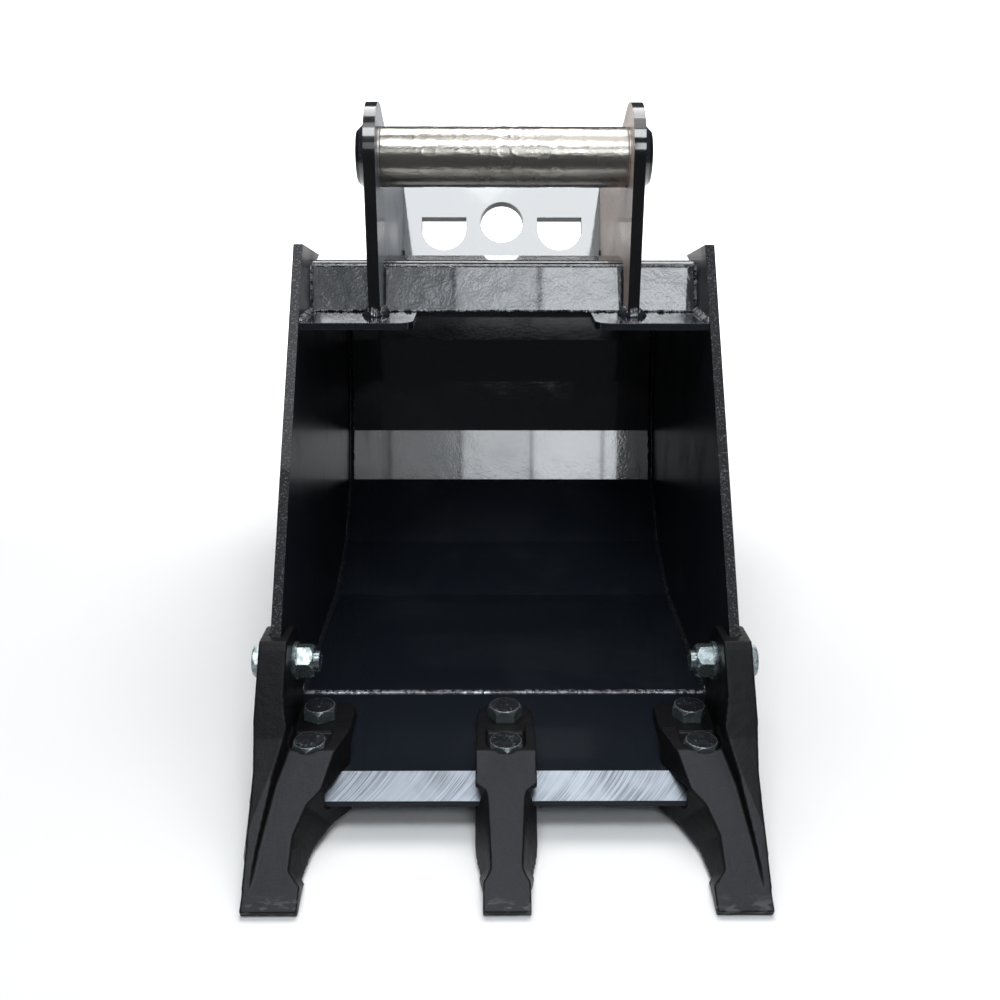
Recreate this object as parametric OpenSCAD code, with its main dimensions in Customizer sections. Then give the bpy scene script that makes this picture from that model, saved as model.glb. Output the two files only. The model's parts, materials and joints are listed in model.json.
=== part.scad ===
// Excavator digging bucket with a quick-coupler hanger.
// A folded shell and two side plates form the bowl. A thick bevelled cutting edge closes the
// front and carries three cast teeth on bolts. The hanger is a pair of ears with a fixed
// coupler bar at the front and a lock plate at the back.
// Inside the modules +X is right, +Y is back and the floor of the bowl lies at z = 0, with
// the floor seam at y = 0. The last step tips the bucket onto its heel and its tooth tips.

/* [Bowl] */
// Width over the two side plates
bucket_w = 360; // [320:5:420]
// Thickness of the side plates
side_t = 8; // [6:0.5:10]
// Thickness of the folded shell
shell_t = 6; // [4:0.5:8]
// Flat floor from the seam to the first fold
floor_run = 200; // [180:5:230]
// First facet behind the floor, at the heel
ramp_run = 90; // [80:1:100]
// Second facet behind the floor
rise_run = 80; // [72:1:88]
// Each of the two facets of the back wall
back_run = 56; // [51:1:61]
// Facet above the back wall
upper_run = 47; // [44:1:54]
// First facet that turns towards the roof
crown_run = 40; // [35:1:43]
// Second facet that turns towards the roof
top_run = 42; // [38:1:46]
// Distance from the floor seam forward to the foot of the mouth line
mouth_foot = 130; // [122:1:134]
// Distance from the floor seam forward to the toe of the side plates
side_toe = 115; // [108:1:116]
// Height of the front corner of the side plates above the roof
crest_rise = 60; // [50:1:70]
// Length of the sloping top edge of the side plates
crest_run = 172; // [150:1:185]
// Half of the opening in the roof lip that clears the coupler
lip_gap = 77; // [70:1:84]
// Corner radius of the roof lip
lip_r = 12; // [6:1:16]

/* [Cutting edge] */
// Thickness of the cutting edge
blade_t = 16; // [14:0.5:18]
// Distance from the floor seam to the nose of the cutting edge
blade_run = 139; // [136:1:142]
// How far each end of the cutting edge stands out past its side plate
blade_over = 8; // [7:0.5:10]
// Length of the milled bevel
bevel_run = 21.5; // [18:0.5:23]
// Thickness left at the nose
blade_nose = 4.5; // [3:0.5:6]

/* [Top beam] */
// Thickness of the folded beam
beam_t = 6; // [4:0.5:8]
// Setback of the foot of the beam behind the roof lip
beam_setback = 64; // [58:1:70]
// Height of the beam above the roof
beam_h = 42; // [36:1:48]
// Depth of the flat on top of the beam
beam_flat = 44; // [38:1:50]
// Outer fold radius of the beam
beam_r = 8; // [7:0.5:10]

/* [Hanger] */
// Clear width between the two ears
hanger_clear = 214; // [190:2:230]
// Thickness of each ear
ear_t = 10; // [8:0.5:12]
// Radius of the ear around the coupler bar
ear_r = 45; // [40:1:50]
// Height of the coupler bar above the roof
eye_rise = 130; // [122:1:140]
// Distance of the coupler bar behind the roof lip
eye_back = 79; // [70:1:84]
// Distance from the coupler bar back to the end of the ears
ear_tail = 252; // [246:1:262]
// Drop of the tail corner of the ears below the axis of the coupler bar
tail_drop = 34; // [28:1:40]
// Corner radius of the ear tail
tail_r = 14; // [8:1:18]
// Diameter of the coupler bar
pin_d = 50; // [40:1:55]
// Length of bar that stands out past each ear
pin_stub = 9; // [6:0.5:14]
// Chamfer at the ends of the coupler bar
pin_chamfer = 3; // [1:0.5:4]
// Radial gap between the coupler bar and its holes
pin_fit = 0.1; // [0.05:0.05:0.3]
// Leg of the ring weld that holds the coupler bar
ring_leg = 6; // [4:0.5:8]
// Thickness of the lock plate
lock_t = 12; // [10:0.5:15]
// Distance from the coupler bar back to the centre of the lock plate
lock_back = 220; // [212:1:226]
// Drop from the coupler bar to the centre of the lock plate
lock_drop = 72; // [66:1:78]
// Height of the lock plate above its centre
lock_head = 41; // [38:1:44]
// Diameter of the round hole in the lock plate
lock_hole_d = 46; // [36:1:50]
// Width of each D hole in the lock plate
d_hole_w = 48; // [36:1:52]
// Height of each D hole in the lock plate
d_hole_h = 37; // [32:1:40]
// Height of the flat of the D holes above the centre
d_hole_top = 5.5; // [3:0.5:8]
// Distance from the centre of the plate to the centre of a D hole
d_hole_x = 62.5; // [56:0.5:66]

/* [Teeth] */
// Width of the centre tooth over its strap
tooth_w = 45; // [42:1:50]
// Thickness of the strap on top of the cutting edge
strap_t = 9; // [8:0.5:11]
// Height of the boss that hides the front bolt head
boss_h = 18; // [16:0.5:19]
// Distance from the floor seam to the rear tooth bolt
bolt_rear = 53.5; // [50:0.5:56]
// Distance between the two bolts of a tooth
bolt_pitch = 51.5; // [49:0.5:52]
// Distance from the floor seam to the tooth tips
tip_run = 216; // [205:1:228]
// Drop of the tooth tips below the floor of the bowl
tip_drop = 48.5; // [46:0.5:56]
// Thickness of the tooth tips
tip_t = 6; // [4:0.5:9]
// Width of the tip of the centre tooth
tip_w = 33; // [28:1:38]
// Thickness of the jaw under the cutting edge
jaw_t = 13.5; // [12:0.5:15]
// Distance from the outside of a side plate to the tooth bolts beside it
corner_inset = 32; // [31:0.5:34]
// Width of the tip of a corner tooth
corner_tip_w = 39; // [34:1:42]
// Running gap between castings and plates
cast_gap = 0.5; // [0.3:0.1:1]
// Thickness of the fin cheek inside the side plate
cheek_in = 7; // [6:0.5:8]
// Thickness of the fin cheek outside the side plate
cheek_out = 6.5; // [5:0.5:7.5]
// Lead of the fin in front of the mouth line
fin_lead = 16; // [12:1:18]
// Height of the fin above the floor of the bowl
fin_h = 88; // [84:1:94]
// Height of the side bolt above the floor of the bowl
side_bolt_h = 60; // [57:1:62]
// Distance of the side bolt behind the mouth line
side_bolt_back = 31; // [28:1:33]
// Radius of the fin lobe around the side bolt
lobe_r = 27; // [25:1:28]

/* [Fasteners] */
// Thread diameter of all bolts
bolt_d = 16; // [14:1:16]
// Width across flats of the bolt heads and nuts
bolt_af = 24; // [21:1:24]
// Height of the bolt heads
head_h = 10; // [8:0.5:11]
// Height of the nuts
nut_h = 13; // [11:0.5:13]
// Radial gap of the bolts in their holes
bolt_fit = 0.5; // [0.3:0.1:1]
// Diameter of the side washers
washer_d = 30; // [28:1:32]
// Thickness of the side washers
washer_t = 3; // [2:0.5:4]
// Bolt thread that shows past a side nut
thread_out = 4; // [2:0.5:6]

/* [Hidden] */

// Overrun of every cutting shape past the face that it opens
over = bucket_w;
round_fn = 96;

// Angles, in degrees above the floor
shell_headings = [0, 16, 41, 68, 74, 82, 106, 140];
roof_heading = 180;
mouth_angle = 54.6;
crest_fall = 12;
beam_lean = 18;
beam_back_lean = 28;
lock_lean = 27;
scoop_lean = 25;

// Half widths of the bowl
side_out = bucket_w / 2;
side_in = side_out - side_t;
blade_half = side_out + blade_over;

// Folded shell
shell_runs = [floor_run, ramp_run, rise_run, back_run, back_run, upper_run, crown_run, top_run];
function heading(a) = [cos(a), sin(a)];
function fold_at(i) = i == 0 ? [0, 0] : fold_at(i - 1) + shell_runs[i - 1] * heading(shell_headings[i - 1]);
fold_count = len(shell_runs);
roof_in = fold_at(fold_count).y;
roof_out = roof_in + shell_t;
function all_headings() = concat(shell_headings, [roof_heading]);
function miter(i, t) =
    let(before = i == 0 ? shell_headings[0] : shell_headings[i - 1], after = all_headings()[i])
    let(mean = (before + after) / 2)
    fold_at(i) + t / cos((after - before) / 2) * [sin(mean), -cos(mean)];
shell_inner = [for (i = [0 : fold_count]) fold_at(i)];
shell_outer = [for (i = [0 : fold_count]) miter(i, shell_t)];

function mouth_y(z) = z / tan(mouth_angle) - mouth_foot;
lip_y = mouth_y(roof_out);

// Top beam
beam_foot_y = lip_y + beam_setback;
beam_head = [beam_foot_y + beam_h * tan(beam_lean), roof_out + beam_h];
beam_tail = [beam_head.x + beam_flat, beam_head.y];
beam_end_y = beam_tail.x + beam_h * tan(beam_back_lean);

// Hanger
eye = [lip_y + eye_back, roof_out + eye_rise];
tail = [eye.x + ear_tail - tail_r, eye.y - tail_drop - tail_r];
lock_at = [eye.x + lock_back, eye.y - lock_drop];
ear_in = hanger_clear / 2;
ear_out = ear_in + ear_t;

// Teeth
bolt_rows = [-bolt_rear, -bolt_rear - bolt_pitch];
boss_front = -bolt_rear - bolt_pitch - bolt_af / 2 - bolt_fit * 2;
tip_low = [-tip_run, -tip_drop];
face_from = [boss_front, boss_h];
face_angle = atan((face_from.y - tip_low.y) / (face_from.x - tip_low.x)) - atan(tip_t / 4 / strap_t);
tip_high = tip_low + tip_t * [-sin(face_angle), cos(face_angle)];
face_slope = atan((face_from.y - tip_high.y) / (face_from.x - tip_high.x));
face_len = norm(face_from - tip_high);
tooth_rear = -bolt_rear + tooth_w / 2;
corner_x = side_out - corner_inset;
slot_front = -blade_run - cast_gap * 4;
slot_low = -blade_t - cast_gap;
jaw_low = slot_low - jaw_t;
jaw_rear = -bolt_rear - bolt_pitch + bolt_af / 2 + strap_t / 3;
side_bolt = [mouth_y(side_bolt_h) + side_bolt_back, side_bolt_h];
fin_in = side_in - cheek_in;
fin_out = side_out + cheek_out;

// The bucket stands on the fold behind its floor and on its tooth tips
heel = shell_outer[1];
rest_tilt = atan((heel.y - tip_low.y) / (heel.x - tip_low.x));
function tipped(p) = [p.x * cos(rest_tilt) + p.y * sin(rest_tilt), p.y * cos(rest_tilt) - p.x * sin(rest_tilt)];
ground_z = tipped(tip_low).y;
front_y = tipped(tip_high).x;
back_y = tipped(tail).x + tail_r;

module placed() {
    translate([0, -(front_y + back_y) / 2, -ground_z]) rotate([-rest_tilt, 0, 0]) children();
}

// Extrudes a side view, drawn as [y, z], from x = from to x = to
module across(from, to) {
    translate([from, 0, 0]) rotate([90, 0, 90]) linear_extrude(to - from) children();
}

module mirrored(side) {
    if (side < 0) mirror([1, 0, 0]) children();
    else children();
}

function arc(c, r, a, b, n = 12) = [for (i = [0 : n]) c + r * heading(a + (b - a) * i / n)];

// Closed outer outline of the bowl, used to seat what is welded onto it
module bowl_outline() {
    polygon(concat([[0, 0]], shell_outer, [[lip_y, roof_out], [lip_y, 0]]));
}

// Closed outer outline of the top beam
module beam_outline() {
    polygon(concat(
        [[beam_foot_y, roof_out]],
        arc(beam_head + beam_r * [1 - tan(beam_lean / 2), -1],
            beam_r, 180 - beam_lean, 90, 6),
        [beam_tail, [beam_end_y, roof_out]]
    ));
}

module wrapper_shell() {
    color("#14171f") placed() difference() {
        across(-side_in, side_in) polygon(concat(
            shell_inner, [[lip_y, roof_in], [lip_y, roof_out]],
            [for (i = [fold_count : -1 : 0]) shell_outer[i]]));
        lip_opening();
    }
}

// The roof stops at the beam between the ears, which leaves a lip with rounded corners
module lip_opening() {
    translate([0, 0, roof_in - shell_t]) linear_extrude(shell_t * 3) difference() {
        translate([-lip_gap - lip_r, lip_y - lip_r])
            square([2 * (lip_gap + lip_r), beam_setback + lip_r]);
        for (side = [-1, 1]) translate([side * (lip_gap + lip_r), lip_y + lip_r]) {
            circle(lip_r, $fn = round_fn);
            translate([-lip_r, 0]) square([2 * lip_r, beam_setback]);
        }
    }
}

module side_plate(side) {
    toe_z = (mouth_foot - side_toe) * tan(mouth_angle);
    crest_z = roof_out + crest_rise;
    crest = [mouth_y(crest_z), crest_z];
    color("#171a22") placed() mirrored(side) difference() {
        across(side_in, side_out) polygon(concat(
            [[0, 0], [-side_toe, 0], [-side_toe, toe_z], crest,
             crest + crest_run * heading(-crest_fall)],
            [for (i = [fold_count : -1 : 0]) shell_outer[i]]));
        side_bolt_hole();
    }
}

module side_bolt_hole() {
    translate([0, side_bolt.x, side_bolt.y]) rotate([0, 90, 0])
        cylinder(h = over, d = bolt_d + 2 * bolt_fit, $fn = round_fn);
}

module side_plate_left() { side_plate(-1); }
module side_plate_right() { side_plate(1); }

module cutting_edge() {
    color("#20242c") placed() difference() {
        across(-blade_half, blade_half) polygon([
            [0, 0], [0, -blade_t], [-blade_run, -blade_t], [-blade_run, blade_nose - blade_t],
            [bevel_run - blade_run, 0]]);
        for (x = [-corner_x, 0, corner_x], y = bolt_rows) bolt_hole(x, y);
    }
}

module bolt_hole(x, y) {
    translate([x, y, -over / 2]) cylinder(h = over, d = bolt_d + 2 * bolt_fit, $fn = round_fn);
}

module top_beam() {
    color("#1b2029") placed() across(-side_in, side_in) difference() {
        beam_outline();
        polygon([
            [beam_foot_y + beam_t / cos(beam_lean), roof_out - beam_t],
            beam_head + beam_t * [1 / cos(beam_lean) - tan(beam_lean), -1],
            beam_tail + beam_t * [tan(beam_back_lean) - 1 / cos(beam_back_lean), -1],
            [beam_end_y - beam_t / cos(beam_back_lean), roof_out - beam_t]]);
    }
}

// Ear: a round head on the coupler bar, a vertical front edge, a long tail over the roof
module ear_outline() {
    saddle = [eye.x + ear_tail * 0.38, eye.y + ear_r * 0.02];
    difference() {
        union() {
            translate(eye) circle(ear_r, $fn = round_fn);
            polygon(concat(
                [[eye.x - ear_r, eye.y], [eye.x - ear_r, roof_in], [tail.x - tail_r, shell_outer[6].y]],
                [tail + tail_r * heading(-8)],
                arc(tail, tail_r, 0, 78, 10),
                [saddle],
                [eye + ear_r * heading(66)]));
        }
        bowl_outline();
        beam_outline();
    }
}

module hanger_ear(side) {
    color("#1a1d25") placed() mirrored(side) difference() {
        across(ear_in, ear_out) ear_outline();
        translate([ear_in - over / 2, eye.x, eye.y]) rotate([0, 90, 0])
            cylinder(h = over, d = pin_d + 2 * pin_fit, $fn = round_fn);
    }
}

module hanger_ear_left() { hanger_ear(-1); }
module hanger_ear_right() { hanger_ear(1); }

module coupler_pin() {
    half = ear_out + pin_stub;
    color("#c9c6bd") placed() translate([0, eye.x, eye.y]) rotate([0, 90, 0]) rotate_extrude($fn = round_fn)
        polygon([[0, -half], [pin_d / 2 - pin_chamfer, -half], [pin_d / 2, pin_chamfer - half],
                 [pin_d / 2, half - pin_chamfer], [pin_d / 2 - pin_chamfer, half], [0, half]]);
}

module pin_weld(side) {
    r = pin_d / 2 + pin_fit;
    color("#17191f") placed() mirrored(side) translate([ear_out, eye.x, eye.y]) rotate([0, 90, 0])
        rotate_extrude($fn = round_fn) polygon([[r, 0], [r + ring_leg, 0], [r, ring_leg]]);
}

module pin_weld_left() { pin_weld(-1); }
module pin_weld_right() { pin_weld(1); }

// Plate that the coupler locks into, with one round hole between two D holes
module lock_plate() {
    reach = lock_drop * 2;
    color("#3a4150") placed() difference() {
        translate([0, lock_at.x, lock_at.y]) rotate([-lock_lean, 0, 0]) rotate([90, 0, 0])
            translate([0, 0, -lock_t]) linear_extrude(lock_t) difference() {
                translate([-ear_in, -reach]) square([hanger_clear, reach + lock_head]);
                circle(d = lock_hole_d, $fn = round_fn);
                for (side = [-1, 1]) translate([side * d_hole_x, d_hole_top]) d_hole();
            }
        across(-over, over) bowl_outline();
    }
}

// A flat top, short straight sides and a half-round bottom
module d_hole() {
    r = d_hole_w / 2;
    translate([0, r - d_hole_h]) intersection() {
        union() {
            circle(r, $fn = round_fn);
            translate([-r, 0]) square([d_hole_w, d_hole_h - r]);
        }
        translate([-r, -r]) square([d_hole_w, d_hole_h]);
    }
}

// Bead over the seam between the floor and the cutting edge
module floor_weld() {
    bead_w = shell_t;
    bead_h = shell_t / 4;
    color("#b9bfc9") placed() across(-side_in, side_in)
        polygon([for (i = [0 : 8]) [bead_w / 2 * cos(i * 22.5), bead_h * sin(i * 22.5)]]);
}

// Side view of a tooth: strap, boss, sloping face, tip and the jaw under the cutting edge
module tooth_outline() {
    polygon([
        [tooth_rear, 0], [tooth_rear, strap_t * 0.7], [tooth_rear - strap_t * 0.3, strap_t],
        [-bolt_rear - bolt_af, strap_t], [-bolt_rear - bolt_af - strap_t * 0.7, boss_h],
        face_from, tip_high, tip_low,
        [slot_front + blade_t, jaw_low], [jaw_rear + strap_t * 0.3, jaw_low],
        [jaw_rear, jaw_low + strap_t * 0.3], [jaw_rear, slot_low],
        [slot_front, slot_low], [slot_front, 0]]);
}

// Frame of the sloping face: +Y runs back up the face, +Z stands out of it
module on_face() {
    translate([0, face_from.x, face_from.y]) rotate([face_slope, 0, 0]) children();
}

// Scoop beside the face. Its outline lies in the face, and its wall leans outwards below it.
module scoop(x, lean, outline) {
    on_face() translate([x, 0, 0]) rotate([0, -lean, 0]) translate([0, 0, -tooth_w])
        linear_extrude(2 * tooth_w) polygon([for (p = outline) [p.x * cos(lean), p.y]]);
}

module bolt_pockets(x) {
    front = bolt_rows[1];
    for (y = bolt_rows) bolt_hole(x, y);
    translate([x, front, strap_t]) {
        cylinder(h = over, r = bolt_af / sqrt(3) + 2 * bolt_fit, $fn = round_fn);
        translate([-bolt_af / sqrt(3) - 2 * bolt_fit, 0, 0])
            cube([2 * (bolt_af / sqrt(3) + 2 * bolt_fit), bolt_pitch / 2, over]);
    }
    translate([x, front, jaw_low - jaw_t]) rotate(30)
        cylinder(h = jaw_t * 1.6, r = bolt_af / sqrt(3) + 2 * bolt_fit, $fn = 6);
}

module centre_tooth() {
    waist_top = tooth_w * 0.3;
    waist_low = tip_w / 3;
    half = tooth_w / 2;
    color("#33353b") placed() difference() {
        intersection() {
            across(-half, half) tooth_outline();
            translate([0, 0, -over / 2]) linear_extrude(over) polygon(concat(
                arc([0, -bolt_rear], half, 0, 180, 30),
                [[-half, -tip_run * 0.74], [-half * 0.93, -tip_run * 0.84], [-tip_w / 2, -tip_run * 0.92],
                 [-tip_w / 2, -over], [tip_w / 2, -over],
                 [tip_w / 2, -tip_run * 0.92], [half * 0.93, -tip_run * 0.84], [half, -tip_run * 0.74]]));
        }
        bolt_pockets(0);
        for (side = [-1, 1]) mirrored(side) scoop(0, scoop_lean, [
            [tooth_w, -face_len * 0.21], [half, -face_len * 0.22], [waist_top * 1.1, -face_len * 0.27],
            [waist_top, -face_len * 0.32], [waist_low, -face_len * 0.74],
            [waist_low * 1.15, -face_len * 0.78], [tip_w / 2, -face_len * 0.83], [tooth_w, -face_len * 0.84]]);
    }
}

// Side view of the fin that straddles the front edge of the side plate
module fin_outline() {
    polygon(concat(
        [[side_bolt.x + lobe_r * 0.97, 0], [side_bolt.x + lobe_r * 0.97, side_bolt.y - lobe_r * 0.25]],
        arc(side_bolt, lobe_r, -14, 82, 12),
        [[mouth_y(fin_h) - fin_lead + strap_t * 0.5, fin_h],
         [mouth_y(fin_h) - fin_lead, fin_h - strap_t * 0.5],
         [mouth_y(fin_h * 0.36) - fin_lead, fin_h * 0.36]],
        [for (t = [0.24, 0.46, 0.9]) face_from + t * (tip_high - face_from)
            + (0.9 - t) * boss_h * 0.75 * [-sin(face_slope), cos(face_slope)]],
        [[slot_front, slot_low], [slot_front, 0]]));
}

// Plan of a corner tooth, right side
module corner_plan() {
    inner = corner_x - tooth_w * 0.6;
    tip_out = side_out + cast_gap;
    polygon([
        [inner + strap_t, tooth_rear], [fin_out, tooth_rear + lobe_r],
        [fin_out, -tip_run * 0.8], [tip_out, -tip_run * 0.87], [tip_out, -over],
        [tip_out - corner_tip_w, -over], [tip_out - corner_tip_w, -tip_run * 0.9],
        [tip_out - corner_tip_w - cheek_out / 3, -tip_run * 0.81],
        [inner - strap_t * 0.9, slot_front], [inner - strap_t * 0.5, boss_front],
        [inner, -bolt_rear - bolt_af], [inner, tooth_rear - strap_t]]);
}

// Plan of the fin: its inner wall leaves the side plate and runs out at the tip
module fin_plan() {
    tip_out = side_out + cast_gap;
    polygon([
        [fin_in, over], [fin_out, over], [fin_out, -side_toe], [fin_out - cheek_out / 2, slot_front],
        [tip_out, -tip_run], [tip_out - cheek_out * 0.7, -tip_run * 0.95],
        [tip_out - cheek_out * 1.1, -tip_run * 0.83], [tip_out - cheek_out * 1.9, -tip_run * 0.66],
        [fin_in - cheek_in / 2, boss_front], [fin_in, -bolt_rear - bolt_pitch]]);
}

module corner_tooth(side) {
    inner = corner_x - tooth_w * 0.6;
    toe_z = (mouth_foot - side_toe) * tan(mouth_angle);
    gap = cast_gap * 2;
    tip_in = side_out + cast_gap - corner_tip_w;
    color("#303238") placed() mirrored(side) difference() {
        union() {
            intersection() {
                across(inner - tooth_w, side_out + cheek_out) tooth_outline();
                translate([0, 0, -over / 2]) linear_extrude(over) corner_plan();
            }
            intersection() {
                across(fin_in - tooth_w, fin_out) fin_outline();
                translate([0, 0, -over / 2]) linear_extrude(over) fin_plan();
            }
        }
        // The cutting edge runs right through the jaw
        across(0, over) polygon([[slot_front, slot_low], [over, slot_low], [over, 0], [slot_front, 0]]);
        // The side plate stands in the slot of the fin
        across(side_in - cast_gap, side_out + cast_gap) polygon([
            [-side_toe - gap, 0], [-side_toe - gap, toe_z], [mouth_y(over) - gap, over], [over, over], [over, 0]]);
        bolt_pockets(corner_x);
        side_bolt_hole();
        inner_scoop(inner, tip_in);
        outer_scoop();
    }
}

// Leaning inner wall of a corner tooth, with its waist
module inner_scoop(inner, tip_in) {
    edge = inner + strap_t * 0.7;
    waist = tip_in + cheek_in * 1.3;
    mirror([1, 0, 0]) scoop(-edge, scoop_lean, [
        [0, tooth_w], [0, 0], [-cheek_in, -face_len * 0.26],
        [edge - waist + cheek_in, -face_len * 0.36], [edge - waist, -face_len * 0.55],
        [edge - waist, -face_len * 0.76], [edge - waist + cheek_in, -face_len * 0.84],
        [tooth_w, -face_len * 0.88], [tooth_w, tooth_w]]);
}

// Leaning outer wall of a corner tooth, below the fin
module outer_scoop() {
    wall = side_out + cast_gap + cheek_out / 5;
    bulge = fin_out - wall;
    intersection() {
        scoop(wall, scoop_lean * 0.7, [
            [bulge, tooth_w], [bulge, 0], [bulge / 2, -face_len * 0.2], [0, -face_len * 0.6],
            [0, -face_len * 0.86], [tooth_w, -face_len * 0.9], [tooth_w, tooth_w]]);
        on_face() translate([0, -over, -over]) cube([over, over, over]);
    }
}

module corner_tooth_left() { corner_tooth(-1); }
module corner_tooth_right() { corner_tooth(1); }

// Hexagon with its corners eased by a cone, lying on z = 0
module hexagon(h) {
    r = bolt_af / sqrt(3);
    intersection() {
        cylinder(h = h, r = r, $fn = 6);
        cylinder(h = h, r1 = r + h / 2, r2 = bolt_af / 2 * 0.97, $fn = round_fn);
    }
}

// Tooth bolt: head on the strap, shank through the cutting edge to the end of its nut
module tooth_bolt(x, y, turn) {
    foot = y == bolt_rows[0] ? -blade_t - nut_h : jaw_low - nut_h * 0.3;
    translate([x, y, strap_t]) {
        rotate(turn) hexagon(head_h);
        translate([0, 0, foot - strap_t]) cylinder(h = strap_t - foot, d = bolt_d, $fn = round_fn);
    }
}

module tooth_bolts(x, turns) {
    color("#c3c8cf") placed() for (i = [0, 1]) tooth_bolt(x, bolt_rows[i], turns[i]);
}

module centre_tooth_bolts() { tooth_bolts(0, [0, 34]); }
module corner_bolts_left() { tooth_bolts(-corner_x, [31, 27]); }
module corner_bolts_right() { tooth_bolts(corner_x, [2, 3]); }

// The rear nut bears on the cutting edge, the front one lies in the pocket of the jaw
module tooth_nuts(x) {
    seats = [-blade_t, jaw_low + jaw_t * 0.6];
    color("#b8bdc4") placed() for (i = [0, 1]) translate([x, bolt_rows[i], seats[i]]) mirror([0, 0, 1])
        rotate(30 * i) difference() {
            hexagon(nut_h);
            translate([0, 0, -over / 2]) cylinder(h = over, d = bolt_d, $fn = round_fn);
        }
}

module centre_tooth_nuts() { tooth_nuts(0); }
module corner_nuts_left() { tooth_nuts(-corner_x); }
module corner_nuts_right() { tooth_nuts(corner_x); }

// Places children on the side bolt with +Z pointing outwards
module on_side_bolt(side, x) {
    placed() mirrored(side) translate([x, side_bolt.x, side_bolt.y]) rotate([0, 90, 0]) children();
}

module side_bolt(side) {
    foot = fin_in - washer_t - nut_h - thread_out;
    color("#c3c8cf") on_side_bolt(side, fin_out) {
        rotate(14) hexagon(head_h);
        translate([0, 0, foot - fin_out]) cylinder(h = fin_out - foot, d = bolt_d, $fn = round_fn);
    }
}

module side_nut(side) {
    color("#c9cdd3") on_side_bolt(side, fin_in - washer_t) mirror([0, 0, 1]) difference() {
        rotate(15) hexagon(nut_h);
        translate([0, 0, -over / 2]) cylinder(h = over, d = bolt_d, $fn = round_fn);
    }
}

module side_washer(side) {
    color("#c9cdd3") on_side_bolt(side, fin_in - washer_t) difference() {
        cylinder(h = washer_t, d = washer_d, $fn = round_fn);
        translate([0, 0, -over / 2]) cylinder(h = over, d = bolt_d + bolt_fit, $fn = round_fn);
    }
}

module side_bolt_left() { side_bolt(-1); }
module side_bolt_right() { side_bolt(1); }
module side_nut_left() { side_nut(-1); }
module side_nut_right() { side_nut(1); }
module side_washer_left() { side_washer(-1); }
module side_washer_right() { side_washer(1); }

wrapper_shell();
side_plate_left();
side_plate_right();
cutting_edge();
top_beam();
hanger_ear_left();
hanger_ear_right();
lock_plate();
coupler_pin();
pin_weld_left();
pin_weld_right();
floor_weld();
centre_tooth();
corner_tooth_left();
corner_tooth_right();
centre_tooth_bolts();
corner_bolts_left();
corner_bolts_right();
centre_tooth_nuts();
corner_nuts_left();
corner_nuts_right();
side_bolt_left();
side_bolt_right();
side_nut_left();
side_nut_right();
side_washer_left();
side_washer_right();
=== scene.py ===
"""Visual model of an excavator digging bucket: finishes, weld beads, bar film, thread ends and a light studio."""

import json
import logging
import math
from dataclasses import dataclass, field
from enum import Enum
from typing import Callable

import bmesh
import bpy
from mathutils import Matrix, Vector, noise

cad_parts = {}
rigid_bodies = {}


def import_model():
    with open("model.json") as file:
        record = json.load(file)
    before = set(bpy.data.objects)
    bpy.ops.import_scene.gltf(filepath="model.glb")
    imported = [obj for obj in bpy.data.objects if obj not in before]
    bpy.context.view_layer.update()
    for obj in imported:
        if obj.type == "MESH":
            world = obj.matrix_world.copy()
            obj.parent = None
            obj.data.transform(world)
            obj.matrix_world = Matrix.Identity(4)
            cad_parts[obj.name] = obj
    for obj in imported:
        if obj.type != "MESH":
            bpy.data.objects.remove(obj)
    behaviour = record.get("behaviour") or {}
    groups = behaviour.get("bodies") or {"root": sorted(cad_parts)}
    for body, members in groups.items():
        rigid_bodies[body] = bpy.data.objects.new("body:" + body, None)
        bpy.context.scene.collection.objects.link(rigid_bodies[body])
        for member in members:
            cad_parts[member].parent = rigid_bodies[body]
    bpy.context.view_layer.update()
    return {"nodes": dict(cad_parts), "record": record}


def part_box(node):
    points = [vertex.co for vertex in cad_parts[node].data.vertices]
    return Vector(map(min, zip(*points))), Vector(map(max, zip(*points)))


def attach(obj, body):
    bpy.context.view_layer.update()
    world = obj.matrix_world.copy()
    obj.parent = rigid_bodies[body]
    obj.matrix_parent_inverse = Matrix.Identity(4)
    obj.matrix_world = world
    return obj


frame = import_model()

LOG = logging.getLogger("bucket")
MM = 0.001
BODY = "root"
SIDES = ((-1, "left"), (1, "right"))

Colour = tuple[float, float, float]
Triple = tuple[float, float, float]
Profile = list[tuple[float, float]]
Socket = bpy.types.NodeSocket
Sockets = dict[str, bpy.types.NodeSocket]


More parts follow.
